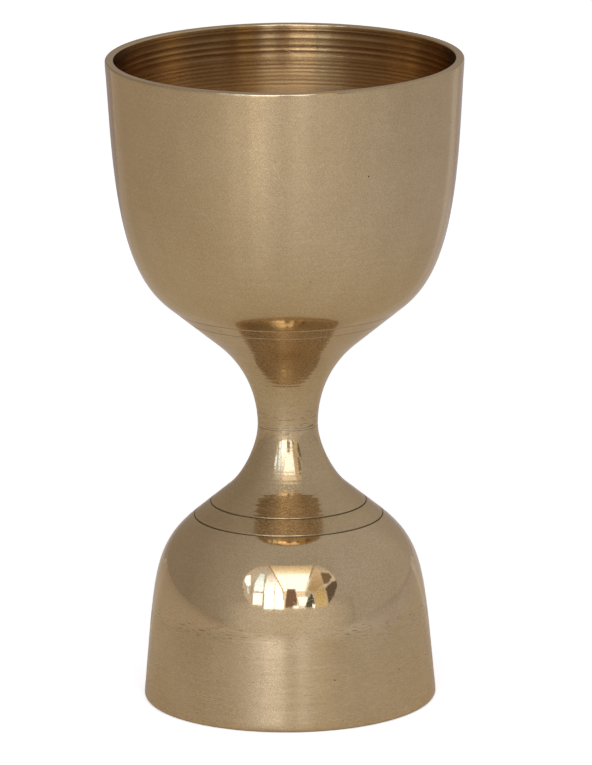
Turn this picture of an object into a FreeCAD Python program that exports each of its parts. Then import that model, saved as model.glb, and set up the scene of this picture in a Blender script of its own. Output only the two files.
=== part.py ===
import FreeCAD, Part
import math
import os

from FreeCAD import Vector

# Double-ended bar jigger: a large measuring cup on top and a small one upside down below it,
# on a slim flared neck. Every piece is turned about the Z axis. Millimetres.
# Z = 0 is the rim of the small cup, which is what the jigger stands on.
#
# Both halves are built the same way, in their own half frame: a point is (radius, depth),
# where depth runs from the half's rim towards the waist. Half.place turns it into X and Z.

# ---- driving dimensions of the whole jigger ----
HEIGHT = 95.3
WAIST_RADIUS = 4.41
WAIST_HEIGHT = 40.93

# Large cup, 60 ml brimful
LARGE_RIM_RADIUS = 26.0
LARGE_WALL = 1.25            # wall thickness at the rim
LARGE_WALL_LEAN = 3.46       # lean of the straight wall from the axis, degrees
LARGE_STRAIGHT = 9.3         # depth of the straight part of the wall
LARGE_SHOULDER_PULLS = (16.0, 5.7)
LARGE_CONE_LEAN = 50.55      # lean of the cone under the cup from the axis, degrees
LARGE_CONE_RADII = (17.73, 10.36)
LARGE_CONE_DEPTH = 41.99     # depth of the cone's inner end
LARGE_FLARE_PULLS = (6.9, 2.3)
LARGE_BAND_RADII = (16.8, 14.9)
LARGE_GROOVE_HALF_WIDTH = 0.1
LARGE_BOWL_DEPTH = 40.35
LARGE_BOWL_SPHERE = 26.5
LARGE_RIM_ROUNDS = (0.28, 0.22)

# Small cup, 30 ml brimful
SMALL_RIM_RADIUS = 21.42
SMALL_WALL = 1.25
SMALL_WALL_LEAN = 5.06
SMALL_STRAIGHT = 8.0
SMALL_SHOULDER_PULLS = (12.0, 6.6)
SMALL_CONE_LEAN = 50.57
SMALL_CONE_RADII = (13.9, 8.76)
SMALL_CONE_DEPTH = 31.57
SMALL_FLARE_PULLS = (3.0, 2.8)
SMALL_BAND_RADII = (13.8, 11.4)
SMALL_GROOVE_HALF_WIDTH = 0.15
SMALL_BOWL_DEPTH = 30.6
SMALL_BOWL_SPHERE = 22.8
SMALL_RIM_ROUNDS = (0.62, 0.2)

# Brazed joint between cup and neck: a thin collar lies flush in the cone, over the seam.
BAND_THICKNESS = 0.5         # square to the cone
LIP_THICKNESS = 0.9          # edge of the neck's dished seat, square to the cone
GROOVE_DEPTH = 0.12          # the collar's two edges are broken into fine V grooves
BOWL_JOIN_PART = 0.6         # the bowl's spherical floor ends at this part of the rim radius
BOWL_WALL_PULL = 0.56        # pulls of the curve between wall and floor, per depth left over
BOWL_FLOOR_PULL = 0.36

# Neck joint: a threaded stud and a silver-solder washer between the two neck halves.
WASHER_THICKNESS = 0.3
WASHER_RADIUS = WAIST_RADIUS - 0.04
STUD_RADIUS = 2.5
STUD_LENGTH = 14.0
STUD_CHAMFER = 0.6
THREAD_PITCH = 0.8
THREAD_DEPTH = 0.43
HOLE_SPARE = 0.6             # how far each blind hole runs past the end of the stud


def leaning(lean):
    """Unit direction, deeper and towards the axis, of a line that leans by lean degrees."""
    angle = math.radians(lean)
    return (-math.sin(angle), math.cos(angle))


def step(point, direction, distance):
    return (point[0] + direction[0] * distance, point[1] + direction[1] * distance)


def turned(edges):
    """The solid turned about Z from the edges of its half section."""
    face = Part.Face(Part.Wire(edges))
    solid = face.revolve(Vector(0, 0, 0), Vector(0, 0, 1), 360)
    return Part.Solid(solid.Shells[0]) if solid.ShapeType != "Solid" else solid


class Half:
    """One cup with its half of the neck."""

    def __init__(self, rises, rim_radius, wall, wall_lean, straight, shoulder_pulls, cone_lean,
                 cone_radii, cone_depth, flare_pulls, band_radii, groove, bowl_depth, bowl_sphere,
                 rounds):
        self.rises = rises
        self.waist_depth = HEIGHT - WAIST_HEIGHT if rises else WAIST_HEIGHT
        self.wall_line = leaning(wall_lean)
        self.cone_line = leaning(cone_lean)
        self.shoulder_pulls = shoulder_pulls
        self.flare_pulls = flare_pulls
        self.rim_radius = rim_radius
        self.wall = wall
        self.rounds = rounds
        self.groove = groove
        self.bowl_depth = bowl_depth
        self.bowl_sphere = bowl_sphere

        self.wall_end = step((rim_radius, 0), self.wall_line, straight / self.wall_line[1])
        self.cone_end = (cone_radii[1], cone_depth)
        self.cone_start = self.on_cone(cone_radii[0])
        self.band_outer = self.on_cone(band_radii[0])
        self.band_inner = self.on_cone(band_radii[1])
        lip = self.below(self.band_inner, LIP_THICKNESS)
        self.dish_sphere = math.hypot(lip[0], lip[1] - self.bowl_centre())

    def place(self, point):
        radius, depth = point
        return Vector(radius, 0, HEIGHT - depth if self.rises else depth)

    def line(self, *points):
        return [Part.LineSegment(self.place(start), self.place(end)).toShape()
                for start, end in zip(points, points[1:])]

    def arc(self, start, middle, end):
        return [Part.Arc(self.place(start), self.place(middle), self.place(end)).toShape()]

    def curve(self, start, start_line, start_pull, end_pull, end_line, end):
        """A smooth curve that leaves start along one line and reaches end along another."""
        bezier = Part.BezierCurve()
        poles = (start, step(start, start_line, start_pull), step(end, end_line, -end_pull), end)
        bezier.setPoles([self.place(pole) for pole in poles])
        return [bezier.toShape()]

    def on_cone(self, radius):
        return step(self.cone_end, self.cone_line, (self.cone_end[0] - radius) / -self.cone_line[0])

    def below(self, point, distance):
        """The point under the cone's surface, square to it, on the side of the bowl."""
        return step(point, (-self.cone_line[1], self.cone_line[0]), distance)

    def bowl_centre(self):
        return self.bowl_depth - self.bowl_sphere

    def on_sphere(self, sphere_radius, radius):
        """The point at a radius on the deep side of a sphere round the bowl's centre."""
        return (radius, self.bowl_centre() + math.sqrt(sphere_radius ** 2 - radius ** 2))

    def rim_round(self, corner_radius, size, outside):
        """Start, middle and end of the arc that rounds one edge of the rim, flat side first."""
        side = 1 if outside else -1
        square = (side * self.wall_line[1], -side * self.wall_line[0])
        centre_radius = corner_radius - side * size * (1 + square[1]) / abs(square[0])
        centre = (centre_radius, size)
        middle_line = (square[0], square[1] - 1)
        length = math.hypot(*middle_line)
        middle = step(centre, (middle_line[0] / length, middle_line[1] / length), size)
        return (centre_radius, 0), middle, step(centre, square, size)

    def cup(self):
        """The drawn and turned bowl, rebated round its underside for the collar."""
        outer_flat, outer_middle, outer_wall = self.rim_round(self.rim_radius, self.rounds[0], True)
        inner_radius = self.rim_radius - self.wall
        inner_flat, inner_middle, inner_wall = self.rim_round(inner_radius, self.rounds[1], False)

        edges = self.line(inner_flat, outer_flat)
        edges += self.arc(outer_flat, outer_middle, outer_wall)
        edges += self.line(outer_wall, self.wall_end)
        edges += self.curve(self.wall_end, self.wall_line, self.shoulder_pulls[0],
                            self.shoulder_pulls[1], self.cone_line, self.cone_start)
        edges += self.line(self.cone_start,
                           step(self.band_outer, self.cone_line, -self.groove),
                           self.below(self.band_outer, GROOVE_DEPTH),
                           self.below(self.band_outer, BAND_THICKNESS),
                           self.below(self.band_inner, BAND_THICKNESS),
                           self.below(self.band_inner, LIP_THICKNESS))
        dish_pole = self.on_sphere(self.dish_sphere, 0)
        edges += self.dish()
        floor_pole = (0, self.bowl_depth)
        edges += self.line(dish_pole, floor_pole)

        floor_end = self.on_sphere(self.bowl_sphere, BOWL_JOIN_PART * self.rim_radius)
        floor_middle = self.on_sphere(self.bowl_sphere, BOWL_JOIN_PART * self.rim_radius / 2)
        edges += self.arc(floor_pole, floor_middle, floor_end)
        floor_line = (-(floor_end[1] - self.bowl_centre()) / self.bowl_sphere,
                      floor_end[0] / self.bowl_sphere)
        side_end = step((inner_radius, 0), self.wall_line, self.wall_end[1] / self.wall_line[1])
        depth_left = floor_end[1] - side_end[1]
        edges += self.curve(floor_end, (-floor_line[0], -floor_line[1]), BOWL_FLOOR_PULL * depth_left,
                            BOWL_WALL_PULL * depth_left, (-self.wall_line[0], -self.wall_line[1]),
                            side_end)
        edges += self.line(side_end, inner_wall)
        edges += self.arc(inner_wall, inner_middle, inner_flat)
        return turned(edges)

    def dish(self):
        """The spherical seat between cup and neck, from its lip to the axis."""
        lip = self.below(self.band_inner, LIP_THICKNESS)
        return self.arc(lip, self.on_sphere(self.dish_sphere, lip[0] / 2),
                        self.on_sphere(self.dish_sphere, 0))

    def collar(self):
        """The flush ring over the seam, with both outer edges broken."""
        corners = (self.below(self.band_outer, GROOVE_DEPTH),
                   step(self.band_outer, self.cone_line, self.groove),
                   step(self.band_inner, self.cone_line, -self.groove),
                   self.below(self.band_inner, GROOVE_DEPTH),
                   self.below(self.band_inner, BAND_THICKNESS),
                   self.below(self.band_outer, BAND_THICKNESS))
        return turned(self.line(*corners, corners[0]))

    def neck(self):
        """The flared half of the neck, dished for the cup and drilled from the waist."""
        face_depth = self.waist_depth - WASHER_THICKNESS / 2
        waist = (WAIST_RADIUS, face_depth)
        hole_end = self.waist_depth - STUD_LENGTH / 2 - HOLE_SPARE
        edges = self.line(self.below(self.band_inner, LIP_THICKNESS),
                          self.below(self.band_inner, GROOVE_DEPTH),
                          step(self.band_inner, self.cone_line, self.groove),
                          self.cone_end)
        edges += self.curve(self.cone_end, self.cone_line, self.flare_pulls[0],
                            self.flare_pulls[1], (0, 1), waist)
        edges += self.line(waist, (STUD_RADIUS, face_depth), (STUD_RADIUS, hole_end),
                           (0, hole_end), self.on_sphere(self.dish_sphere, 0))
        edges += self.dish()
        return turned(Part.__sortEdges__(edges))


def waist_washer():
    """The thin ring of solder that closes the seam at the waist."""
    low = WAIST_HEIGHT - WASHER_THICKNESS / 2
    disc = Part.makeCylinder(WASHER_RADIUS, WASHER_THICKNESS, Vector(0, 0, low))
    return disc.cut(Part.makeCylinder(STUD_RADIUS, WASHER_THICKNESS, Vector(0, 0, low)))


def neck_stud():
    """A stud with chamfered ends and its thread as rings of the real pitch and depth."""
    low = WAIST_HEIGHT - STUD_LENGTH / 2
    high = WAIST_HEIGHT + STUD_LENGTH / 2
    root = STUD_RADIUS - THREAD_DEPTH
    outline = [(0, low), (STUD_RADIUS - STUD_CHAMFER, low), (STUD_RADIUS, low + STUD_CHAMFER)]
    plain = WASHER_THICKNESS / 2 + THREAD_PITCH
    for start, end in ((low + STUD_CHAMFER, WAIST_HEIGHT - plain),
                       (WAIST_HEIGHT + plain, high - STUD_CHAMFER)):
        turns = int((end - start) / THREAD_PITCH)
        first = (start + end - turns * THREAD_PITCH) / 2
        for turn in range(turns):
            ridge = first + turn * THREAD_PITCH
            outline += [(STUD_RADIUS, ridge), (root, ridge + THREAD_PITCH / 2)]
        outline.append((STUD_RADIUS, first + turns * THREAD_PITCH))
    outline += [(STUD_RADIUS, high - STUD_CHAMFER), (STUD_RADIUS - STUD_CHAMFER, high), (0, high)]
    corners = [Vector(radius, 0, height) for radius, height in outline]
    edges = [Part.LineSegment(start, end).toShape()
             for start, end in zip(corners, corners[1:] + corners[:1])]
    return turned(edges)


large = Half(True, LARGE_RIM_RADIUS, LARGE_WALL, LARGE_WALL_LEAN, LARGE_STRAIGHT,
             LARGE_SHOULDER_PULLS, LARGE_CONE_LEAN, LARGE_CONE_RADII, LARGE_CONE_DEPTH,
             LARGE_FLARE_PULLS, LARGE_BAND_RADII, LARGE_GROOVE_HALF_WIDTH,
             LARGE_BOWL_DEPTH, LARGE_BOWL_SPHERE, LARGE_RIM_ROUNDS)
small = Half(False, SMALL_RIM_RADIUS, SMALL_WALL, SMALL_WALL_LEAN, SMALL_STRAIGHT,
             SMALL_SHOULDER_PULLS, SMALL_CONE_LEAN, SMALL_CONE_RADII, SMALL_CONE_DEPTH,
             SMALL_FLARE_PULLS, SMALL_BAND_RADII, SMALL_GROOVE_HALF_WIDTH,
             SMALL_BOWL_DEPTH, SMALL_BOWL_SPHERE, SMALL_RIM_ROUNDS)

pieces = {
    "large_cup": large.cup(),
    "upper_collar": large.collar(),
    "upper_neck": large.neck(),
    "waist_washer": waist_washer(),
    "neck_stud": neck_stud(),
    "lower_neck": small.neck(),
    "lower_collar": small.collar(),
    "small_cup": small.cup(),
}

os.makedirs("parts", exist_ok=True)
for name, solid in pieces.items():
    solid.exportStep("parts/" + name + ".step")
    print(name, round(solid.Volume), "mm3", "valid" if solid.isValid() else "NOT VALID")
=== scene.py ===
import math

import bpy
import numpy as np
from mathutils import Matrix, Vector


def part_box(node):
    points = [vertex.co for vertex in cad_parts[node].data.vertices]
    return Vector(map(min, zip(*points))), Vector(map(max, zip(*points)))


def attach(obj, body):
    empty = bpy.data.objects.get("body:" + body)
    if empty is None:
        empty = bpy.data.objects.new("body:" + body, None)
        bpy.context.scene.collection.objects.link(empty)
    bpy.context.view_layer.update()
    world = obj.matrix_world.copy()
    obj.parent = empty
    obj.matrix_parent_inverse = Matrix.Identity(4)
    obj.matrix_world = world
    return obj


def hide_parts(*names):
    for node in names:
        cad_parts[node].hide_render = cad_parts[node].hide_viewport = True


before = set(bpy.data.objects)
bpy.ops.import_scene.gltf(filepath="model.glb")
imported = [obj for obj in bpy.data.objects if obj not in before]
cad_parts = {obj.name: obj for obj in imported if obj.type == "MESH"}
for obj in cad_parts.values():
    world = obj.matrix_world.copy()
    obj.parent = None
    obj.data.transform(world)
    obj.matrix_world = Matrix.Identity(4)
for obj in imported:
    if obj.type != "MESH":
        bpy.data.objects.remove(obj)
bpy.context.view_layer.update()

MM = 0.001
TURN = 2 * math.pi

# The jigger's own landmarks, from the frame.
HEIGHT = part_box("large_cup")[1].z
LARGE_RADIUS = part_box("large_cup")[1].x
WAIST_HEIGHT = (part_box("waist_washer")[0].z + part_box("waist_washer")[1].z) / 2
LARGE_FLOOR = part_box("large_cup")[0].z
SMALL_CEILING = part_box("small_cup")[1].z

ON_SECTION = 2e-8              # how far off the half section's plane a vertex may lie
ON_AXIS = 1e-7
OFF_AXIS = 1e-6                # an outline with both ends farther out than this is a loop
SHARP_TURN = math.radians(9)   # an outline turning more than this has a corner there
SHARP_SHADING = math.radians(28)
STRAIGHT_ROWS = 40             # how many places a run of only a few points is read at
CORNER_WEAR = 0.05 * MM        # how far each side of a sharp corner is worn round
WEAR_ROWS = 5


# ---------------------------------------------------------------------------
# Turned pieces: the CAD node's half section, smoothed and turned finely.
# ---------------------------------------------------------------------------

def half_section(node):
    """The node's half section as (radius, height) points in order round the outline."""
    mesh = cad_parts[node].data
    place = {}
    for vertex in mesh.vertices:
        if abs(vertex.co.y) < ON_SECTION and vertex.co.x > -ON_AXIS:
            place[vertex.index] = (round(vertex.co.x, 7), round(vertex.co.z, 7))
    links = {}
    for edge in mesh.edges:
        first, second = (place.get(index) for index in edge.vertices)
        if first and second and first != second:
            links.setdefault(first, set()).add(second)
            links.setdefault(second, set()).add(first)
    ends = sorted(point for point in links if len(links[point]) == 1)
    here = ends[0] if ends else min(links)
    outline = [here]
    seen = {here}
    while True:
        ahead = sorted(point for point in links[here] if point not in seen)
        if not ahead:
            return np.array(outline)
        here = ahead[0]
        seen.add(here)
        outline.append(here)


def runs_between_corners(outline, closed):
    """The outline cut at its sharp corners into smooth runs."""
    count = len(outline)
    cuts = [] if closed else [0]
    for i in range(0 if closed else 1, count if closed else count - 1):
        before = outline[i] - outline[i - 1]
        after = outline[(i + 1) % count] - outline[i]
        turn = math.atan2(before[0] * after[1] - before[1] * after[0], before @ after)
        if abs(turn) > SHARP_TURN:
            cuts.append(i)
    if not closed:
        cuts.append(count - 1)
        return [outline[a:b + 1] for a, b in zip(cuts, cuts[1:])]
    rolled = np.concatenate([outline[cuts[0]:], outline[:cuts[0] + 1]])
    cuts = [cut - cuts[0] for cut in cuts] + [count]
    return [rolled[a:b + 1] for a, b in zip(cuts, cuts[1:])]


def spaced_places(points, along, spacing):
    """Lengths along a run, set out at the spacing wanted at each of its points."""
    steps = np.array([spacing(radius, height) for radius, height in points])
    rows = np.diff(along) * 2 / (steps[1:] + steps[:-1])
    row_number = np.concatenate([[0], np.cumsum(rows)])
    count = max(2, int(math.ceil(row_number[-1])) + 1)
    return np.interp(np.linspace(0, row_number[-1], count), row_number, along)


def smooth_run(points, spacing):
    """Points on a natural cubic spline through a run's points; short runs stay straight."""
    along = np.concatenate([[0], np.cumsum(np.hypot(*np.diff(points, axis=0).T))])
    if len(points) < 4:
        split = np.linspace(0, along[-1], STRAIGHT_ROWS)
        points = np.stack([np.interp(split, along, column) for column in points.T], 1)
        wanted = spaced_places(points, split, spacing)
        return np.stack([np.interp(wanted, split, column) for column in points.T], 1)
    wanted = spaced_places(points, along, spacing)
    gaps = np.diff(along)
    slopes = np.diff(points, axis=0) / gaps[:, None]
    system = np.eye(len(points))
    right = np.zeros((len(points), 2))
    for i in range(1, len(points) - 1):
        system[i, i - 1:i + 2] = gaps[i - 1], 2 * (gaps[i - 1] + gaps[i]), gaps[i]
        right[i] = 6 * (slopes[i] - slopes[i - 1])
    bend = np.linalg.solve(system, right)
    part = np.clip(np.searchsorted(along, wanted, side="right") - 1, 0, len(gaps) - 1)
    gap = gaps[part][:, None]
    low = (wanted - along[part])[:, None]
    high = gap - low
    return ((bend[part] * high ** 3 + bend[part + 1] * low ** 3) / (6 * gap)
            + (points[part] / gap - bend[part] * gap / 6) * high
            + (points[part + 1] / gap - bend[part + 1] * gap / 6) * low)


def trimmed(run, start, end):
    """A run with a length cut off its start and its end."""
    along = np.concatenate([[0], np.cumsum(np.hypot(*np.diff(run, axis=0).T))])
    inside = along[(along > start) & (along < along[-1] - end)]
    wanted = np.concatenate([[start], inside, [along[-1] - end]])
    return np.stack([np.interp(wanted, along, column) for column in run.T], 1)


def dense_section(node, spacing):
    """The smoothed outline, its sharp corners worn round; and whether it is a closed loop."""
    outline = half_section(node)
    closed = outline[0][0] > OFF_AXIS and outline[-1][0] > OFF_AXIS
    runs = [smooth_run(run, spacing) for run in runs_between_corners(outline, closed)]
    points = []
    for i, run in enumerate(runs):
        wear_start = CORNER_WEAR if closed or i else 0
        wear_end = CORNER_WEAR if closed or i < len(runs) - 1 else 0
        kept = trimmed(run, wear_start, wear_end)
        points.extend(kept)
        if wear_end:
            corner = run[-1]
            onward = trimmed(runs[(i + 1) % len(runs)], CORNER_WEAR, 0)[0]
            for share in np.linspace(0, 1, WEAR_ROWS + 2)[1:-1]:
                points.append((1 - share) ** 2 * kept[-1] + 2 * share * (1 - share) * corner
                              + share ** 2 * onward)
    points = np.array(points)
    low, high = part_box(node)
    return np.clip(points, (0, low.z), (high.x, high.z)), closed


def normals_of(points, closed):
    """Unit normals of the outline, pointing out of the metal."""
    if closed:
        along = np.roll(points, -1, 0) - np.roll(points, 1, 0)
    else:
        along = np.gradient(points, axis=0)
    normals = np.stack([along[:, 1], -along[:, 0]], 1)
    normals /= np.maximum(np.hypot(*normals.T), 1e-12)[:, None]
    following = np.roll(points, -1, 0)
    area = np.sum(points[:, 0] * following[:, 1] - following[:, 0] * points[:, 1])
    return normals if area > 0 else -normals


def lathe(name, node, spacing, segments, relief, zones, materials):
    """A turned piece that stands for a CAD node.

    relief gives how deep the surface is cut, in metres, at (radius, height, angle, normal).
    zones gives the material number of a stretch of outline at (radius, height, normal).
    """
    points, closed = dense_section(node, spacing)
    normals = normals_of(points, closed)
    angles = np.arange(segments) * TURN / segments
    poles = points[:, 0] < ON_AXIS
    depth = relief(points[:, 0][:, None], points[:, 1][:, None], angles[None, :], normals)
    radius = points[:, 0][:, None] - normals[:, 0][:, None] * depth
    height = points[:, 1][:, None] - normals[:, 1][:, None] * depth
    vertices = []
    rings = []
    for i, pole in enumerate(poles):
        start = len(vertices)
        if pole:
            vertices.append((0, 0, height[i].mean()))
            rings.append([start] * segments)
        else:
            vertices.extend(zip(radius[i] * np.cos(angles), radius[i] * np.sin(angles), height[i]))
            rings.append(list(range(start, start + segments)))
    faces = []
    numbers = []
    pairs = list(zip(range(len(points)), list(range(1, len(points))) + [0]))
    # An open outline runs from axis to axis, or is closed straight back to its start.
    if not closed and poles[0] and poles[-1]:
        pairs.pop()
    for low, high in pairs:
        middle = (points[low] + points[high]) / 2
        number = zones(middle[0], middle[1], (normals[low] + normals[high]) / 2)
        for j in range(segments):
            k = (j + 1) % segments
            face = [rings[low][j], rings[low][k], rings[high][k], rings[high][j]]
            face = list(dict.fromkeys(face))
            if len(face) > 2:
                faces.append(face)
                numbers.append(number)
    mesh = bpy.data.meshes.new(name)
    mesh.from_pydata(vertices, [], faces)
    for material in materials:
        mesh.materials.append(material)
    mesh.polygons.foreach_set("material_index", numbers)
    mesh.polygons.foreach_set("use_smooth", [True] * len(faces))
    mesh.update()
    piece = bpy.data.objects.new(name, mesh)
    bpy.context.scene.collection.objects.link(piece)
    if enclosed_volume(mesh) < 0:
        mesh.flip_normals()
    mesh.set_sharp_from_angle(angle=SHARP_SHADING)
    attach(piece, "root")
    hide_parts(node)
    return piece


def enclosed_volume(mesh):
    """Six times the signed volume inside the mesh: negative when its faces look inward."""
    mesh.calc_loop_triangles()
    corners = np.empty(len(mesh.loop_triangles) * 3, np.int32)
    mesh.loop_triangles.foreach_get("vertices", corners)
    places = np.empty(len(mesh.vertices) * 3, np.float32)
    mesh.vertices.foreach_get("co", places)
    a, b, c = places.reshape(-1, 3).astype(float)[corners.reshape(-1, 3)].transpose(1, 0, 2)
    return float(np.sum(a * np.cross(b, c)))


# ---------------------------------------------------------------------------
# Tool marks, as depth of cut.
# ---------------------------------------------------------------------------

# Boring ridges inside the large cup, measured down from the rim.
RIDGES_FROM = (0.55 * MM, 0.8 * MM)    # they set in between these two
RIDGES_FINER = (4.6 * MM, 5.4 * MM)    # coarse above, fine below
RIDGES_FADE = (9 * MM, 12.5 * MM)
COARSE_RIDGE = (0.99 * MM, 0.048 * MM)    # pitch, depth
FINE_RIDGE = (0.58 * MM, 0.03 * MM)
RIM_LAND = 0.5 * MM            # the rounded lip itself is left uncut
RIDGE_RUN_OUT = 0.05 * MM      # how far the ridges wander up and down round the axis
# Turning rings on the neck halves and the collars: pitch, depth.
NECK_RINGS = (0.62 * MM, 0.010 * MM)
COLLAR_RINGS = (0.5 * MM, 0.0015 * MM)
NECK_RINGS_FROM = (0.2 * MM, 0.6 * MM)    # none at the washer's seam
NECK_RINGS_FULL = (3.0 * MM, 7.0 * MM)    # shallower near the waist
WAIST_SHARE = 0.25
RING_WANDER = 0.12             # how far a ring runs out round the axis, as a share of its pitch
SECOND_PITCH = 0.618           # two pitches beat against each other; the second as a share
SECOND_SHARE = 0.38            # and how much of the depth it makes


def fade(value, low, high):
    """0 below low, 1 above high, smooth between."""
    part = np.clip((value - low) / (high - low), 0, 1)
    return part * part * (3 - 2 * part)


def ripple(place, pitch, phase=0.0):
    """A wave from 0 to 1."""
    return 0.5 + 0.5 * np.cos(TURN * place / pitch + phase)


def tool_marks(height, angle, pitch, depth):
    """Uneven turning rings: two close pitches beat against each other and run out a little."""
    place = height + RING_WANDER * pitch * np.cos(angle + 1.1)
    first = ripple(place, pitch)
    second = ripple(place, pitch * SECOND_PITCH, 1.3)
    return depth * ((1 - SECOND_SHARE) * first + SECOND_SHARE * second)


def scallops(place):
    """Depth left by a round-nosed tool: a hollow between each two ridges, from 0 to 1."""
    part = place - np.floor(place)
    return 4 * part * (1 - part)


def large_cup_relief(radius, height, angle, normals):
    """Boring ridges inside the rim: coarse ones first, then finer ones that die away."""
    inside = (normals[:, 0][:, None] < 0) & (height < HEIGHT - RIM_LAND)
    below_rim = HEIGHT - height + RIDGE_RUN_OUT * np.cos(angle + 0.9)
    coarse_pitch, coarse_depth = COARSE_RIDGE
    fine_pitch, fine_depth = FINE_RIDGE
    uneven_pitch = 0.1 * np.sin(TURN * below_rim / (3.3 * MM))
    coarse = scallops(below_rim / coarse_pitch + uneven_pitch)
    fine = scallops(below_rim / fine_pitch)
    deepness = 0.8 + 0.3 * np.cos(2 * angle + 0.5) * np.cos(TURN * below_rim / (2.6 * MM))
    to_fine = fade(below_rim, *RIDGES_FINER)
    ridges = coarse_depth * coarse * (1 - to_fine) + fine_depth * fine * to_fine
    ridges = ridges * deepness * fade(below_rim, *RIDGES_FROM)
    return np.where(inside, ridges * (1 - fade(below_rim, *RIDGES_FADE)), 0)


def neck_relief(radius, height, angle, normals):
    """Turning rings, shallow at the waist and deeper towards the cups."""
    away = np.abs(height - WAIST_HEIGHT)
    share = WAIST_SHARE + (1 - WAIST_SHARE) * fade(away, *NECK_RINGS_FULL)
    return tool_marks(height, angle, *NECK_RINGS) * share * fade(away, *NECK_RINGS_FROM)


def collar_relief(radius, height, angle, normals):
    """Faint turning rings."""
    return tool_marks(height, angle, *COLLAR_RINGS)


def no_relief(radius, height, angle, normals):
    """Nothing cut."""
    return np.zeros((len(normals), angle.shape[1]))


# ---------------------------------------------------------------------------
# Materials
# ---------------------------------------------------------------------------

class Shader:
    """A node tree with short calls for the few node kinds the brass needs."""

    def __init__(self, name):
        self.material = bpy.data.materials.new(name)
        self.material.use_nodes = True
        self.tree = self.material.node_tree
        self.bsdf = self.tree.nodes["Principled BSDF"]

    def add(self, kind, settings=None, **inputs):
        node = self.tree.nodes.new(kind)
        for key, value in (settings or {}).items():
            setattr(node, key, value)
        for key, value in inputs.items():
            self.feed(node.inputs[key.replace("_", " ")], value)
        return node

    def feed(self, socket, value):
        if isinstance(value, bpy.types.NodeSocket):
            self.tree.links.new(value, socket)
        else:
            socket.default_value = value

    def math(self, operation, first, second=0.0):
        node = self.tree.nodes.new("ShaderNodeMath")
        node.operation = operation
        self.feed(node.inputs[0], first)
        self.feed(node.inputs[1], second)
        return node.outputs[0]

    def remap(self, value, low, high, to_low, to_high):
        """The value carried from one range to another, and held at that range's ends."""
        node = self.add("ShaderNodeMapRange", {"clamp": True}, Value=value)
        for socket, number in zip(node.inputs[1:5], (low, high, to_low, to_high)):
            self.feed(socket, number)
        return node.outputs[0]

    def curve(self, value, points):
        """A broken line through (value, height) points, level outside them."""
        total = points[0][1]
        for (low, start), (high, end) in zip(points, points[1:]):
            total = self.math("ADD", total, self.remap(value, low, high, 0.0, end - start))
        return total

    def mix(self, factor, first, second):
        """A colour between two colours."""
        node = self.tree.nodes.new("ShaderNodeMix")
        node.data_type = "RGBA"
        self.feed(node.inputs[0], factor)
        self.feed(node.inputs[6], first)
        self.feed(node.inputs[7], second)
        return node.outputs[2]

    def scaled(self, scale):
        """Object coordinates in millimetres, stretched by scale along each axis."""
        if not hasattr(self, "coordinates"):
            self.coordinates = self.add("ShaderNodeTexCoord").outputs["Object"]
        node = self.add("ShaderNodeMapping", Vector=self.coordinates)
        node.inputs["Scale"].default_value = [part / MM for part in scale]
        return node.outputs[0]

    def noise(self, scale, detail=2.0, rough=0.5):
        node = self.add("ShaderNodeTexNoise", Vector=self.scaled(scale), Scale=1.0,
                        Detail=detail, Roughness=rough)
        return node.outputs[0]

    def bump(self, height, distance, normal=None):
        node = self.add("ShaderNodeBump", Height=height, Distance=distance, Strength=1.0)
        if normal:
            self.feed(node.inputs["Normal"], normal)
        return node.outputs[0]


def colour(red, green, blue):
    return (red, green, blue, 1.0)


# Marks in the brass. A scale is in cycles per millimetre along x, y and z, a pitch in mm. Levels
# are where between 0 and 1 a noise sets in and where it has its full effect.
PATCH_SCALE = (0.11, 0.11, 0.07)         # soft stains
PATCH_LEVELS = (0.35, 0.7)
GRAIN_SCALE = (5.5, 5.5, 5.5)
PIT_SCALE = (0.32, 0.32, 0.32)
PIT_SIZE = 0.04                          # the largest pit, as a share of a cell
PIT_SHUFFLE = 7.31                       # makes a pit's size from its cell's colour
SCRATCH_SCALE = (0.75, 0.75, 7.5)        # short and level
SCRATCH_LEVELS = (0.63, 0.67)
SCUFF_CORE = 0.35                        # scuffs are at their thickest in this share of the reach
HAIRLINE_SCALE = (0.085, 0.085, 0.11)    # long scratches, drawn as a contour line
HAIRLINE_WIDTH = 0.0016
HAIRLINE_PLACES = (0.16, 0.16, 0.16)
HAIRLINE_LEVELS = (0.5, 0.58)
COARSE_RING_PITCH = 0.45
FINE_RING_PITCH = 0.07
SATIN_RING_PITCH = 0.018
SATIN_LEVELS = (0.54, 0.60)
RING_SKEW = 0.05                         # how much the rings change from side to side

SHADE_LEVELS = (0.3, 0.7)
RING_SHADE = (0.97, 1.03)                # darkest and palest share of the colour
GRAIN_SHADE = (0.84, 1.13)
HAIRLINE_SHARE = 0.3
HAIRLINE_COLOUR = colour(0.75, 0.62, 0.42)
PIT_COLOUR = colour(0.05, 0.03, 0.015)

ROUGH_LEVELS = (0.25, 0.75)
RING_ROUGHNESS = (0.85, 1.15)            # smoothest and roughest share
STAIN_ROUGH_LEVELS = (0.3, 0.75)
STAIN_ROUGHNESS = 0.25                   # what a stain adds, as a share
HAIRLINE_ROUGHNESS = 0.12
PIT_ROUGHNESS = 0.5

FINE_RING_DEPTH = 0.00015 * MM
COARSE_RING_DEPTH = 0.002 * MM
GRAIN_DEPTH = 0.0013 * MM
ROUND_THE_AXIS = 0.25                    # highlights stretch across the turning marks


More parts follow.
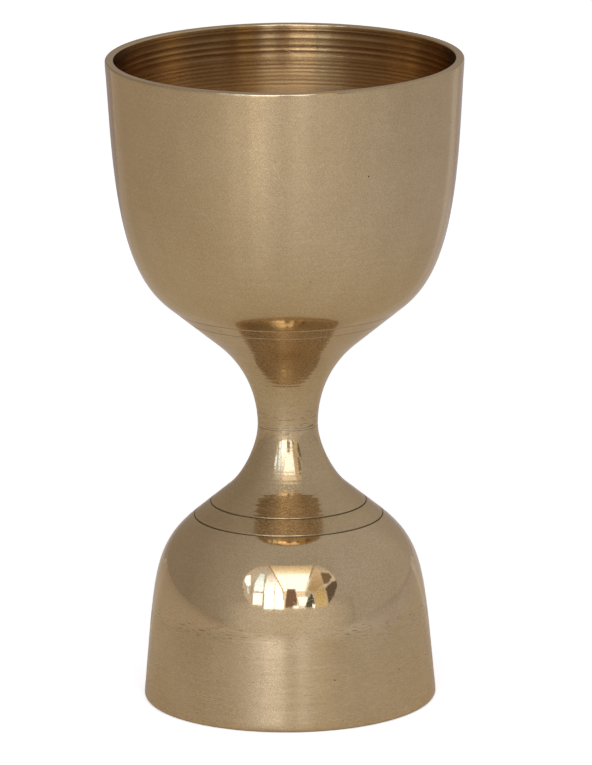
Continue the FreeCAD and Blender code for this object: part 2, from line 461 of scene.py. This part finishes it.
class Brass(Shader):
    """Turned brass, with a method for each kind of mark in it."""

    def __init__(self, name):
        super().__init__(name)
        self.place = self.add("ShaderNodeSeparateXYZ", Vector=self.scaled((1, 1, 1))).outputs
        level = self.add("ShaderNodeCombineXYZ", X=self.place[0], Y=self.place[1])
        radius = self.add("ShaderNodeVectorMath", {"operation": "LENGTH"})
        self.feed(radius.inputs[0], level.outputs[0])
        askew = self.math("MULTIPLY", self.math("ADD", self.place[0], self.place[1]), RING_SKEW)
        self.section = self.add("ShaderNodeCombineXYZ", X=radius.outputs["Value"],
                                Y=self.place[2], Z=askew).outputs[0]
        self.patches = self.noise(PATCH_SCALE, 3.0, 0.6)
        self.coarse_rings = self.rings(COARSE_RING_PITCH, 3.0)
        self.grain = self.noise(GRAIN_SCALE, 1.0, 0.6)

    def rings(self, pitch, detail):
        """Noise that changes along the half section and hardly at all round the axis."""
        return self.add("ShaderNodeTexNoise", Vector=self.section, Scale=1 / pitch,
                        Detail=detail, Roughness=0.6).outputs[0]

    def by_height(self, start, end, factor):
        """1 up to one height, the factor from another on, and blended between the two."""
        return self.remap(self.place[2], start / MM, end / MM, 1.0, factor)

    def pits(self):
        """Scattered round pits of many sizes: 1 in a pit and 0 beside it."""
        cells = self.add("ShaderNodeTexVoronoi", Vector=self.scaled(PIT_SCALE), Scale=1.0,
                         Randomness=1.0)
        size = self.math("MULTIPLY", self.math("FRACT", self.math(
            "MULTIPLY", cells.outputs["Color"], PIT_SHUFFLE)), PIT_SIZE)
        return self.math("LESS_THAN", cells.outputs["Distance"], size)

    def scuffs(self, centre, reach, share):
        """Short level scratches, thickest at one height and gone beyond their reach."""
        away = self.math("ABSOLUTE", self.math("SUBTRACT", self.place[2], centre / MM))
        near = self.remap(away, SCUFF_CORE * reach / MM, reach / MM, 1.0, 0.0)
        scratches = self.noise(SCRATCH_SCALE, 1.0, 0.5)
        return self.math("MULTIPLY", self.remap(scratches, *SCRATCH_LEVELS, 0.0, share), near)

    def hairlines(self):
        """Long thin scratches: the contour line of a noise, kept only in some places."""
        contour = self.math("ABSOLUTE", self.math(
            "SUBTRACT", self.noise(HAIRLINE_SCALE, 1.5, 0.4), 0.5))
        places = self.remap(self.noise(HAIRLINE_PLACES), *HAIRLINE_LEVELS, 0.0, 1.0)
        return self.math("MULTIPLY", self.remap(contour, 0.0, HAIRLINE_WIDTH, 1.0, 0.0), places)

    def metal(self, base, stain, painted_lighting):
        """The metal's colour, with its stains, rings and grain, and painted light and shade by
        height where given.
        """
        tint = self.mix(self.remap(self.patches, *PATCH_LEVELS, 0.0, 1.0), base, stain)
        shade = self.math("MULTIPLY", self.remap(self.coarse_rings, *SHADE_LEVELS, *RING_SHADE),
                          self.remap(self.grain, *SHADE_LEVELS, *GRAIN_SHADE))
        # painted light and shade: the colour made lighter or darker between two heights
        if painted_lighting:
            shade = self.math("MULTIPLY", shade, self.by_height(*painted_lighting))
        shaded = self.add("ShaderNodeVectorMath", {"operation": "SCALE"}, Scale=shade)
        self.feed(shaded.inputs[0], tint)
        return shaded.outputs[0]

    def finish(self, roughness, polish, satin):
        """The roughness of the bare metal."""
        smoothest, roughest = RING_ROUGHNESS
        rough = self.remap(self.coarse_rings, *ROUGH_LEVELS,
                           roughness * smoothest, roughness * roughest)
        rough = self.math("ADD", rough, self.remap(
            self.patches, *STAIN_ROUGH_LEVELS, 0.0, roughness * STAIN_ROUGHNESS))
        if polish:
            rough = self.math("MULTIPLY", rough, self.by_height(*polish))
        dull_rings = self.remap(self.rings(SATIN_RING_PITCH, 0.0), *SATIN_LEVELS, 0.0, satin)
        return self.math("MAXIMUM", rough, dull_rings)

    def relief(self, streak):
        """The normal over fine rings, coarse rings and grain."""
        normal = self.bump(self.rings(FINE_RING_PITCH, 2.0), FINE_RING_DEPTH)
        normal = self.bump(self.coarse_rings, streak, normal)
        return self.bump(self.grain, GRAIN_DEPTH, normal)


def brass(name, base, stain, roughness, anisotropy, polish=None, streak=COARSE_RING_DEPTH,
          scuffs=None, satin=0.0, painted_lighting=None):
    """Turned brass: stained in soft patches, ringed by the tool, grained, pitted and scuffed.

    polish is (height, height, factor): between two heights the roughness comes to that factor.
    streak is the depth of the coarse rings.
    scuffs is (height, reach, share): short dark scratches round about a height.
    satin is the roughness of the thin dull rings that lie between polished ones.
    painted_lighting is (height, height, factor): painted light and shade, as between two heights
    the colour comes to that factor.
    """
    shader = Brass(name)
    dark = shader.pits()
    if scuffs:
        dark = shader.math("MAXIMUM", dark, shader.scuffs(*scuffs))
    hairline = shader.hairlines()
    worn = shader.mix(shader.math("MULTIPLY", hairline, HAIRLINE_SHARE),
                      shader.metal(base, stain, painted_lighting), HAIRLINE_COLOUR)
    rough = shader.finish(roughness, polish, satin)
    rough = shader.math("MAXIMUM", rough, shader.math("MULTIPLY", dark, PIT_ROUGHNESS))
    rough = shader.math("ADD", rough, shader.math("MULTIPLY", hairline, HAIRLINE_ROUGHNESS))
    tangent = shader.add("ShaderNodeTangent", {"direction_type": "RADIAL", "axis": "Z"})
    surface = shader.bsdf.inputs
    shader.feed(surface["Base Color"], shader.mix(dark, worn, PIT_COLOUR))
    shader.feed(surface["Roughness"], rough)
    shader.feed(surface["Tangent"], tangent.outputs[0])
    shader.feed(surface["Normal"], shader.relief(streak))
    surface["Metallic"].default_value = 1.0
    surface["Specular Tint"].default_value = EDGE_TINT
    surface["Anisotropic"].default_value = anisotropy
    surface["Anisotropic Rotation"].default_value = ROUND_THE_AXIS
    return shader.material


EDGE_TINT = colour(0.90, 0.82, 0.73)
BRASS = colour(0.555, 0.402, 0.224)
BRASS_STAIN = colour(0.515, 0.362, 0.192)
SMALL_BRASS = colour(0.59, 0.43, 0.25)
SMALL_STAIN = colour(0.548, 0.388, 0.213)
INNER_BRASS = colour(0.43, 0.262, 0.11)
INNER_STAIN = colour(0.35, 0.20, 0.075)
# painted shade: the dark colour given to the depths of the grooves
GROOVE_PAINTED_SHADE = colour(0.20, 0.14, 0.08)
SOLDER = colour(0.55, 0.42, 0.27)
STEEL = colour(0.36, 0.36, 0.37)
STEEL_STAIN = colour(0.26, 0.24, 0.22)

large_outside = brass("brass_large_outside", BRASS, BRASS_STAIN, roughness=0.16, anisotropy=0.9,
                      polish=(78 * MM, 61 * MM, 0.34), satin=0.2)
# painted shade: the small cup's wall is painted a little darker below 12 mm than above 15 mm
small_outside = brass("brass_small_outside", SMALL_BRASS, SMALL_STAIN, roughness=0.24,
                      anisotropy=0.87, polish=(13.2 * MM, 14.6 * MM, 0.15),
                      streak=0.0004 * MM, scuffs=(14 * MM, 1.5 * MM, 0.45),
                      painted_lighting=(15 * MM, 12 * MM, 0.975))
# painted light: the insides are painted paler from 2 mm to 9 mm below the large rim, and stay so
# further down
inner_brass = brass("brass_turned_inside", INNER_BRASS, INNER_STAIN, roughness=0.21,
                    anisotropy=0.92, polish=(HEIGHT - 4 * MM, HEIGHT - 10 * MM, 1.5),
                    streak=0.004 * MM, painted_lighting=(HEIGHT - 2 * MM, HEIGHT - 9 * MM, 1.36))
neck_brass = brass("brass_polished_neck", BRASS, BRASS_STAIN, roughness=0.05, anisotropy=0.85,
                   scuffs=(WAIST_HEIGHT + 1 * MM, 2.6 * MM, 0.55), satin=0.36)
collar_brass = brass("brass_collar", BRASS, BRASS_STAIN, roughness=0.06, anisotropy=0.85,
                     satin=0.36)
rim_brass = brass("brass_rim", BRASS, BRASS_STAIN, roughness=0.1, anisotropy=0.5,
                  streak=0.001 * MM)
# painted shade in the depths of the grooves
groove_shade = brass("brass_painted_groove_shade", GROOVE_PAINTED_SHADE, GROOVE_PAINTED_SHADE, roughness=0.3, anisotropy=0.0)
solder = brass("silver_solder", SOLDER, BRASS_STAIN, roughness=0.08, anisotropy=0.3)
hidden_steel = brass("stud_steel", STEEL, STEEL_STAIN, roughness=0.3, anisotropy=0.0)


# ---------------------------------------------------------------------------
# The pieces
# ---------------------------------------------------------------------------

GROOVE_REACH = 0.3 * MM        # how far past a collar its grooves reach
GROOVE_SHADE_DEPTH = 0.035 * MM       # the grooves are painted dark below this depth: painted shade
RIM_POLISH = 0.3 * MM
# Parts of a surface normal, in and out or up and down, that tell one zone from another.
RIM_SLOPE = 0.15
FLOOR_SLOPE = 0.2
WALL_SLOPE = 0.3
LIP = 2 * MM                   # this near a rim, only the wall counts as inside
FLOOR_MARGIN = 0.5 * MM        # this near a cup's end, nothing does

# How close the rows of a turned piece lie, and how many segments go round it.
RIM_DETAIL = 0.6 * MM          # how far the rim's close rows go down
DETAIL_STEP = 0.08 * MM
RIDGE_STEP = 0.12 * MM
PLAIN_STEP = 0.55 * MM
GROOVED_SHARE = 0.7            # the grooves lie outside this share of the collar's radius
LARGE_WALL = LARGE_RADIUS - 1.0 * MM    # the ridged wall lies inside this radius
NECK_STEP = 0.1 * MM
BORE_STEP = 0.5 * MM
BORE_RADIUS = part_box("neck_stud")[1].x + 0.5 * MM
COLLAR_STEP = 0.09 * MM
WASHER_STEP = 0.1 * MM
SEGMENTS = 240
WASHER_SEGMENTS = 128


def collar_face(collar):
    """The middle of a collar's long outer face in half section, and its outward normal."""
    outline = half_section(collar)
    following = np.roll(outline, -1, 0)
    along = following - outline
    outer = np.argmax(np.hypot(*along.T) + (outline + following)[:, 0] / 2)
    normal = np.array([along[outer][1], -along[outer][0]])
    normal /= np.hypot(*normal)
    return (outline + following)[outer] / 2, normal if normal[0] > 0 else -normal


def groove_zone(collar, number):
    """Zones that give a number to the depths of the grooves beside a collar, where they are
    painted dark as shade, and 0 to the rest.
    """
    on_face, face = collar_face(collar)
    low, high = (corner.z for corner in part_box(collar))

    def zone(radius, height, normal):
        near = low - GROOVE_REACH < height < high + GROOVE_REACH
        depth = (on_face - (radius, height)) @ face
        return number if near and depth > GROOVE_SHADE_DEPTH else 0
    return zone


def one_zone(radius, height, normal):
    return 0


def large_cup_zone(radius, height, normal):
    """3 on the rim, 1 inside, 2 in the groove, where it is painted dark as shade, and 0 outside.
    """
    if height > HEIGHT - RIM_POLISH and (normal[1] > RIM_SLOPE or normal[0] > 0):
        return 3
    hollow = normal[0] < -WALL_SLOPE or (normal[1] > FLOOR_SLOPE and height < HEIGHT - LIP)
    if hollow and height > LARGE_FLOOR + FLOOR_MARGIN:
        return 1
    return large_groove(radius, height, normal)


def small_cup_zone(radius, height, normal):
    """3 on the rim, 1 inside, 2 in the groove, where it is painted dark as shade, and 0 outside.
    """
    if height < RIM_POLISH and (normal[1] < -RIM_SLOPE or normal[0] > 0):
        return 3
    hollow = normal[0] < -WALL_SLOPE or (normal[1] < -FLOOR_SLOPE and height > LIP)
    if hollow and height < SMALL_CEILING - FLOOR_MARGIN:
        return 1
    return small_groove(radius, height, normal)


large_groove = groove_zone("upper_collar", 2)
small_groove = groove_zone("lower_collar", 2)


def cup_spacing(rim_height, collar, wall_radius=0.0, ridged_depth=0.0):
    """Rows close together on the rim, the ridges and the grooves, and wider apart between."""
    low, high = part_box(collar)

    def spacing(radius, height):
        below_rim = abs(height - rim_height)
        at_groove = low.z - GROOVE_REACH < height < high.z + GROOVE_REACH
        if below_rim < RIM_DETAIL or (at_groove and radius > GROOVED_SHARE * high.x):
            return DETAIL_STEP
        return RIDGE_STEP if below_rim < ridged_depth and radius < wall_radius else PLAIN_STEP
    return spacing


def neck_spacing(radius, height):
    """Rows close together on the outside, where the tool marks show."""
    return BORE_STEP if radius < BORE_RADIUS else NECK_STEP


def even_spacing(step):
    return lambda radius, height: step


lathe("large_cup_turned", "large_cup",
      cup_spacing(HEIGHT, "upper_collar", LARGE_WALL, RIDGES_FADE[1]), SEGMENTS,
      large_cup_relief, large_cup_zone, [large_outside, inner_brass, groove_shade, rim_brass])
lathe("small_cup_turned", "small_cup", cup_spacing(0, "lower_collar"), SEGMENTS, no_relief,
      small_cup_zone, [small_outside, inner_brass, groove_shade, rim_brass])
for half in ("upper", "lower"):
    neck, collar = half + "_neck", half + "_collar"
    lathe(neck + "_turned", neck, neck_spacing, SEGMENTS, neck_relief,
          groove_zone(collar, 1), [neck_brass, groove_shade])
    lathe(collar + "_turned", collar, even_spacing(COLLAR_STEP), SEGMENTS, collar_relief,
          groove_zone(collar, 1), [collar_brass, groove_shade])
lathe("waist_washer_turned", "waist_washer", even_spacing(WASHER_STEP), WASHER_SEGMENTS,
      no_relief, one_zone, [solder])
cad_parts["neck_stud"].data.materials.clear()
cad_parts["neck_stud"].data.materials.append(hidden_steel)


# ---------------------------------------------------------------------------
# Studio: pale floor, a soft white tent, and the tent's front opening
# ---------------------------------------------------------------------------

TENT_LEFT = colour(0.38, 0.37, 0.365)
TENT_RIGHT = colour(0.58, 0.60, 0.65)
TENT_SIDES = (-1.15, 0.1)    # from the left shade to the right one, counted to the right and front
BACKDROP_LIGHT = colour(1.0, 1.0, 1.0)
FLOOR_LIFT = 0.55            # how much whiter the floor paper looks to the camera alone
FLOOR_SIZE = 6.0             # metres
# painted light: a warm tint on the floor near the jigger's foot, seen only in the brass
FLOOR_FOOT_PAINTED_LIGHT = colour(0.95, 0.88, 0.74)
# painted side light: the floor paper darker and warmer to the left, paler and bluer to the right
FLOOR_PAINTED_SHADE_LEFT = colour(0.85, 0.785, 0.70)
FLOOR_PAINTED_LIGHT_RIGHT = colour(0.92, 0.92, 0.96)
# Distances on the floor in millimetres: each pair is where a blend starts and where it ends.
PAINTED_SIDE_LIGHT_SPAN = (-120, 220)
# where the painted warm light near the foot fades out, and its share at the foot
FOOT_PAINTED_LIGHT_REACH = (40, 170)
FOOT_PAINTED_LIGHT_SHARE = 0.75
SPILL_RISES = (40, 340)
SPILL_AT_FOOT = 0.05
SPILL_ENDS = (480, 700)
BEHIND_SIDES = (-150, 150)
BEHIND_LEFT = 0.3
OPENING_DISTANCE = 0.5       # metres from the jigger's axis
SPILL_LIGHT = colour(0.96, 1.0, 1.08)
# Daylight from the opening on the floor in front, in stripes, one for each pane: bearing in
# degrees from straight ahead, left is negative, and strength.
SPILL = [(-56, 0.0), (-42, 0.04), (-36.5, 0.05), (-35.5, 0.16), (-24, 0.09), (-23, 0.25),
         (-12, 0.20), (-11, 0.03), (-3, 0.0), (1, 0.01), (5, 0.11), (15, 0.14), (16, 0.07),
         (36, 0.11), (58, 0.11), (60, 0.14), (67, 0.13), (69, 0.05), (80, 0.0)]
# The far edge of the tent's paper, on both sides, painted as a glow on the floor behind: bearing
# and strength.
BEHIND_LIGHT = colour(0.80, 0.87, 1.0)
BEHIND = [(136, 0.0), (138.5, 0.22), (141, 0.22), (143.5, 0.08), (180, 0.12)]


class GlowShader(Shader):
    """Only a glow, for the cards of the tent's front opening.

    lights lists (height in millimetres, colour) from low to high, blended between.
    sides is (start, end, colour): towards both sides the glow turns to that colour.
    """

    def __init__(self, name, lights, sides=None):
        super().__init__(name)
        self.tree.nodes.remove(self.bsdf)
        glow = self.add("ShaderNodeEmission", Color=colour(*lights[0][1]))
        self.tree.links.new(glow.outputs[0], self.tree.nodes["Material Output"].inputs["Surface"])
        if len(lights) == 1:
            return
        across, _, height = self.add("ShaderNodeSeparateXYZ",
                                     Vector=self.scaled((1, 1, 1))).outputs
        blend = colour(*lights[0][1])
        for (low, _), (high, light) in zip(lights, lights[1:]):
            blend = self.mix(self.remap(height, low, high, 0.0, 1.0), blend, colour(*light))
        if sides:
            start, end, light = sides
            blend = self.mix(self.remap(self.math("ABSOLUTE", across), start, end, 0.0, 1.0),
                             blend, colour(*light))
        self.feed(glow.inputs["Color"], blend)


def sheet(name, corners, material):
    """A flat sheet with its corners at these places, in metres."""
    mesh = bpy.data.meshes.new(name)
    mesh.from_pydata(corners, [], [list(range(len(corners)))])
    mesh.materials.append(material)
    flat = bpy.data.objects.new(name, mesh)
    bpy.context.scene.collection.objects.link(flat)
    return flat


def hide_from_camera(card, lights_floor=True):
    """Keep a glowing card out of the picture; it is still seen in the brass."""
    card.visible_camera = False
    card.visible_shadow = False
    card.visible_diffuse = lights_floor


def stage_card(name, corners, lights, forward, sides=None):
    """A glowing flat card in the front opening; corners are (sideways, up) in millimetres."""
    places = [(x * MM, forward - OPENING_DISTANCE, z * MM) for x, z in corners]
    hide_from_camera(sheet(name, places, GlowShader(name, lights, sides).material))


def floor_patch(name, corners, lift, light):
    """A glowing patch just above the floor, seen only in the brass; corners are (x, y) in mm."""
    places = [(x * MM, y * MM, lift) for x, y in corners]
    patch = sheet(name, places, GlowShader(name, [(0, light)]).material)
    hide_from_camera(patch, lights_floor=False)


def floor_glow(shader, across, back, seen, unseen):
    """What the floor gives off: daylight in stripes for the brass, and an even lift of white for
    the camera."""
    forward = shader.math("MULTIPLY", back, -1.0)
    bearing = shader.math("DEGREES", shader.math("ARCTAN2", across, forward))
    spill = shader.curve(bearing, SPILL)
    spill = shader.math("MULTIPLY", spill, shader.remap(
        forward, *SPILL_RISES, SPILL_AT_FOOT, 1.0))
    spill = shader.math("MULTIPLY", spill, shader.remap(forward, *SPILL_ENDS, 1.0, 0.0))
    behind = shader.curve(shader.math("ABSOLUTE", bearing), BEHIND)
    behind = shader.math("MULTIPLY", behind, shader.remap(
        across, *BEHIND_SIDES, BEHIND_LEFT, 1.0))
    glow = shader.math("ADD", spill, behind)
    light = shader.mix(shader.math("GREATER_THAN", back, 0.0), SPILL_LIGHT, BEHIND_LIGHT)
    shader.feed(shader.bsdf.inputs["Emission Color"], shader.mix(seen, light, colour(1, 1, 1)))
    shader.feed(shader.bsdf.inputs["Emission Strength"], shader.math(
        "ADD", shader.math("MULTIPLY", unseen, glow), shader.math("MULTIPLY", seen, FLOOR_LIFT)))


def make_floor():
    """White paper to the camera; the brass sees it with painted side light, darker to the left,
    with painted warm light near the foot, and striped by daylight.
    """
    shader = Shader("floor_paper")
    across, back, _ = shader.add("ShaderNodeSeparateXYZ", Vector=shader.scaled((1, 1, 1))).outputs
    # painted side light across the floor
    painted_side_light = shader.mix(shader.remap(across, *PAINTED_SIDE_LIGHT_SPAN, 0.0, 1.0), FLOOR_PAINTED_SHADE_LEFT, FLOOR_PAINTED_LIGHT_RIGHT)
    level = shader.add("ShaderNodeVectorMath", {"operation": "LENGTH"})
    shader.feed(level.inputs[0], shader.scaled((1, 1, 1)))
    seen = shader.add("ShaderNodeLightPath").outputs["Is Camera Ray"]
    unseen = shader.math("SUBTRACT", 1.0, seen)
    # painted warm light near the foot, for the brass alone
    foot_painted_light = shader.math("MULTIPLY", unseen, shader.remap(
        level.outputs["Value"], *FOOT_PAINTED_LIGHT_REACH, FOOT_PAINTED_LIGHT_SHARE, 0.0))
    shader.feed(shader.bsdf.inputs["Base Color"], shader.mix(foot_painted_light, painted_side_light, FLOOR_FOOT_PAINTED_LIGHT))
    shader.bsdf.inputs["Roughness"].default_value = 0.9
    shader.bsdf.inputs["Specular IOR Level"].default_value = 0.1
    floor_glow(shader, across, back, seen, unseen)
    half = FLOOR_SIZE / 2
    sheet("floor", [(-half, -half, 0), (half, -half, 0), (half, half, 0),
                             (-half, half, 0)], shader.material)


def make_world():
    """The tent: pale all round, dimmer to the left, and plain white where the camera sees it."""
    world = bpy.data.worlds.new("tent")
    bpy.context.scene.world = world
    world.use_nodes = True
    tree = world.node_tree
    tree.nodes.clear()

    def link(output, socket):
        tree.links.new(output, socket)

    direction = tree.nodes.new("ShaderNodeTexCoord")
    parts = tree.nodes.new("ShaderNodeSeparateXYZ")
    link(direction.outputs["Generated"], parts.inputs[0])
    toward_front = tree.nodes.new("ShaderNodeMath")
    toward_front.operation = "MULTIPLY_ADD"
    link(parts.outputs[1], toward_front.inputs[0])
    toward_front.inputs[1].default_value = -1.0
    link(parts.outputs[0], toward_front.inputs[2])
    side = tree.nodes.new("ShaderNodeMapRange")
    link(toward_front.outputs[0], side.inputs["Value"])
    side.inputs["From Min"].default_value, side.inputs["From Max"].default_value = TENT_SIDES
    shade = tree.nodes.new("ShaderNodeMix")
    shade.data_type = "RGBA"
    link(side.outputs[0], shade.inputs[0])
    shade.inputs[6].default_value = TENT_LEFT
    shade.inputs[7].default_value = TENT_RIGHT
    tent = tree.nodes.new("ShaderNodeBackground")
    link(shade.outputs[2], tent.inputs["Color"])
    backdrop = tree.nodes.new("ShaderNodeBackground")
    backdrop.inputs["Color"].default_value = BACKDROP_LIGHT
    path = tree.nodes.new("ShaderNodeLightPath")
    mix = tree.nodes.new("ShaderNodeMixShader")
    output = tree.nodes.new("ShaderNodeOutputWorld")
    link(path.outputs["Is Camera Ray"], mix.inputs[0])
    link(tent.outputs[0], mix.inputs[1])
    link(backdrop.outputs[0], mix.inputs[2])
    link(mix.outputs[0], output.inputs["Surface"])


make_floor()
make_world()

# The room the brass sees through the tent's opening, from the wall behind to the things in
# front of it.
HOT = (2.5, 3.0, 3.9)
CURTAIN = (3.9, 4.4, 5.5)
SILL_SIDE = (0.53, 0.54, 0.57)
DAYLIGHT = (1.95, 2.7, 4.0)
ROOM = [
    ("room_wall", [(-320, 98), (-200, 88), (200, 88), (315, 105), (400, 175), (460, 260),
                   (490, 360), (492, 450), (468, 560), (425, 665), (375, 742), (300, 752),
                   (200, 728), (100, 709), (0, 703), (-100, 709), (-200, 728), (-300, 752),
                   (-380, 742), (-435, 650), (-480, 530), (-495, 420), (-470, 300), (-410, 185)],
     [(100, (0.85, 0.84, 0.88)), (450, (0.97, 1.02, 1.12)), (720, (0.8, 0.79, 0.82))]),
    ("ceiling", [(-232, 735), (-100, 712), (0, 706), (100, 712), (300, 752), (122, 205),
                 (-42, 205)],
     [(430, HOT), (500, (1.7, 1.8, 1.9)), (570, (1.42, 1.38, 1.25)), (700, (0.95, 0.9, 0.8))]),
    ("back_wall", [(-42, 212), (122, 212), (122, 88), (-42, 88)], [(88, (1.6, 1.63, 1.7))]),
    ("left_moulding", [(-243, 737), (-226, 733), (-40, 205), (-52, 205)],
     [(250, (1.3, 1.2, 1.2)), (450, (0.85, 0.7, 0.6)), (620, (0.55, 0.45, 0.38))]),
    ("right_moulding", [(282, 745), (304, 753), (134, 205), (118, 205)],
     [(350, (1.7, 1.85, 2.1)), (430, (0.62, 0.54, 0.45))]),
    ("left_curtain", [(-203, 440), (-165, 520), (-54, 212), (-38, 88), (-200, 88)],
     [(200, CURTAIN), (330, (1.9, 2.2, 2.9)), (500, (1.1, 1.2, 1.4))]),
    ("curtain_fold", [(-118, 300), (-112, 300), (-108, 88), (-116, 88)],
     [(88, (1.1, 1.2, 1.4))]),
    ("window_near", [(-285, 495), (-236, 480), (-207, 210), (-302, 218), (-312, 330)],
     [(218, DAYLIGHT), (480, (1.35, 1.9, 2.7))]),
    ("window_near_sash", [(-305, 203), (-211, 194), (-209, 106), (-298, 112)], [(100, HOT)]),
    ("window_frame", [(-207, 196), (-192, 196), (-190, 90), (-208, 90)],
     [(90, (0.95, 0.9, 0.85))]),
    ("window_far", [(-470, 465), (-405, 492), (-352, 292), (-386, 276), (-455, 368)],
     [(276, DAYLIGHT)]),
    ("window_far_sash", [(-386, 258), (-366, 254), (-346, 192), (-366, 196)],
     [(200, (1.4, 1.85, 2.5))]),
    ("window_post", [(-344, 320), (-326, 340), (-314, 180), (-336, 190)],
     [(200, (0.68, 0.74, 0.7))]),
    ("right_wall", [(150, 215), (296, 640), (318, 540), (300, 290), (196, 200)],
     [(215, (0.75, 0.62, 0.47)), (600, (1.15, 1.06, 0.95))]),
    ("bookcase", [(330, 520), (432, 512), (446, 432), (362, 312), (306, 296), (312, 470)],
     [(300, (0.32, 0.27, 0.21))]),
    ("dark_doorway", [(485, 366), (474, 290), (398, 176), (320, 108), (308, 240), (368, 298),
                      (420, 342)],
     [(108, (0.2, 0.17, 0.16))]),
    ("folding_screen", [(196, 205), (300, 262), (304, 96), (204, 88)],
     [(88, (1.05, 0.96, 0.62)), (262, (0.8, 0.7, 0.45))]),
    ("door_panel", [(-15, 228), (45, 228), (60, 90), (-33, 90)], [(90, (0.36, 0.26, 0.24))]),
    ("door_glass", [(60, 156), (135, 156), (122, 100), (72, 100)], [(100, HOT)]),
    ("sideboard", [(170, 190), (188, 115), (188, 90), (108, 92)], [(90, (0.16, 0.18, 0.17))]),
    ("floor_light_left", [(28, 100), (66, 100), (60, 88), (24, 88)], [(88, HOT)]),
    ("floor_light_right", [(165, 106), (192, 106), (186, 88), (168, 88)], [(88, HOT)]),
]
# The far edge of the floor paper on both sides, which the cup shows along its outline; the
# fold lies a little above the paper's end.
PAPER_END = [(20, 240), (180, 262), (420, 640), (20, 700)]
PAPER_FOLD = [(172, 256), (184, 264), (432, 640), (416, 640)]
FOLD_SHADE = (0.95, 0.95, 0.97)
for side, end_shade in ((-1, (0.42, 0.40, 0.43)), (1, (0.50, 0.49, 0.53))):
    end, fold = ([(side * x, y) for x, y in corners] for corners in (PAPER_END, PAPER_FOLD))
    floor_patch("paper_end_%d" % (side + 1), end, 0.5 * MM, end_shade)
    floor_patch("paper_fold_%d" % (side + 1), fold, 1.0 * MM, FOLD_SHADE)

stage_card("sill", [(-760, 0), (-760, 170), (760, 170), (760, 0)],
           [(88, (0.86, 0.88, 0.92)), (170, SILL_SIDE)], 0, sides=(180, 700, SILL_SIDE))
for order, (card_name, card_corners, card_lights) in enumerate(ROOM):
    stage_card(card_name, card_corners, card_lights, (order + 1) * MM)


# ---------------------------------------------------------------------------
# Camera
# ---------------------------------------------------------------------------

CAMERA_BACK = 1.194
CAMERA_HEIGHT = 0.3385
CAMERA_PITCH = 13.72
CAMERA_YAW = 0.06
CAMERA_ROLL = 0.5
LENS = 397.0

camera_data = bpy.data.cameras.new("camera")
camera_data.lens = LENS
camera_data.sensor_width = 36.0
camera_data.sensor_fit = "AUTO"
camera_data.clip_start = 0.01
camera = bpy.data.objects.new("camera", camera_data)
bpy.context.scene.collection.objects.link(camera)
camera.matrix_world = (Matrix.Translation((0, -CAMERA_BACK, CAMERA_HEIGHT))
                       @ Matrix.Rotation(math.radians(-CAMERA_YAW), 4, "Z")
                       @ Matrix.Rotation(math.radians(90 - CAMERA_PITCH), 4, "X")
                       @ Matrix.Rotation(math.radians(-CAMERA_ROLL), 4, "Z"))
bpy.context.scene.camera = camera
bpy.context.scene.view_settings.view_transform = "Standard"
